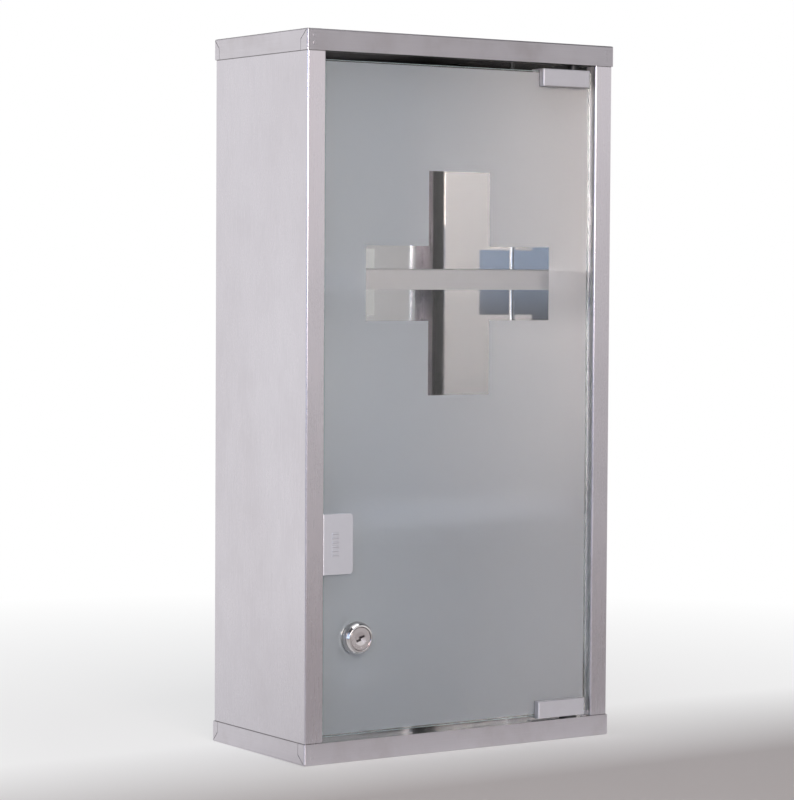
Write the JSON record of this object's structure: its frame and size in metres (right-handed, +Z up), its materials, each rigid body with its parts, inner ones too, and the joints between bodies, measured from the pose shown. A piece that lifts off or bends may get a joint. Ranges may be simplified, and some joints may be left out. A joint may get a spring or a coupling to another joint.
{
  "type": "medicine cabinet",
  "caption": "Slim wall-hung stainless medicine cabinet with a frosted glass pivot door showing a clear cross, a cam lock, a push latch and fixed shelves.",
  "frame": {"origin": "centre of the flat underside of the bottom cap, at mid-width and mid-depth of the case", "axes": "+X to the right as seen from the front, +Y from the front to the wall, +Z up"},
  "size_m": [0.25, 0.122, 0.48],
  "materials": {
    "satin_steel": "fine satin brushed stainless sheet",
    "bright_steel": "bright rolled stainless sheet, nearly a mirror",
    "clear_glass": "clear toughened glass with a green tint at its edges",
    "frosted_layer": "fine white frosting",
    "chrome": "satin chrome plate",
    "plated_steel": "nickel plated steel",
    "black_plastic": "black nylon",
    "grey_rubber": "soft grey rubber",
    "white_plastic": "white moulded plastic"
  },
  "bodies": {
    "cabinet": {"left_side_panel": "satin_steel", "right_side_panel": "satin_steel", "back_panel": "bright_steel", "bottom_cap": "satin_steel", "top_cap": "satin_steel", "upper_shelf": "bright_steel", "lower_shelf": "bright_steel", "lower_pivot_bush": "black_plastic", "upper_pivot_bush": "black_plastic", "latch_housing": "white_plastic", "latch_end_cap": "white_plastic", "latch_bracket": "bright_steel", "latch_screws": "plated_steel", "latch_spring": "plated_steel"},
    "door": {"door_glass": "clear_glass", "frost_film": "frosted_layer", "upper_hinge_clamp": "chrome", "lower_hinge_clamp": "chrome", "upper_clamp_liner": "grey_rubber", "lower_clamp_liner": "grey_rubber", "upper_clamp_screws": "plated_steel", "lower_clamp_screws": "plated_steel", "strike_clip": "plated_steel", "lock_barrel": "chrome", "lock_gasket": "grey_rubber", "lock_washer": "plated_steel", "lock_nut": "plated_steel"},
    "lock_core": {"lock_plug": "chrome", "lock_cam": "plated_steel", "cam_screw": "plated_steel"},
    "plunger": {"latch_plunger": "white_plastic", "latch_magnet": "plated_steel"}
  },
  "joints": [
    {"name": "door_hinge", "type": "hinge", "parent": "cabinet", "child": "door", "pos_m": [0.094, -0.054, 0.24], "axis": [0, 0, 1], "range_deg": [0, 120]},
    {"name": "lock_turn", "type": "hinge", "parent": "door", "child": "lock_core", "pos_m": [-0.0827, -0.056, 0.0812], "axis": [0, 1, 0], "range_deg": [0, 90]},
    {"name": "latch_press", "type": "slide", "parent": "cabinet", "child": "plunger", "axis": [0, 1, 0], "range_m": [0, 0.004], "stiffness_N_per_m": 300, "springref_m": -0.002, "deforming": ["latch_spring"]}
  ]
}
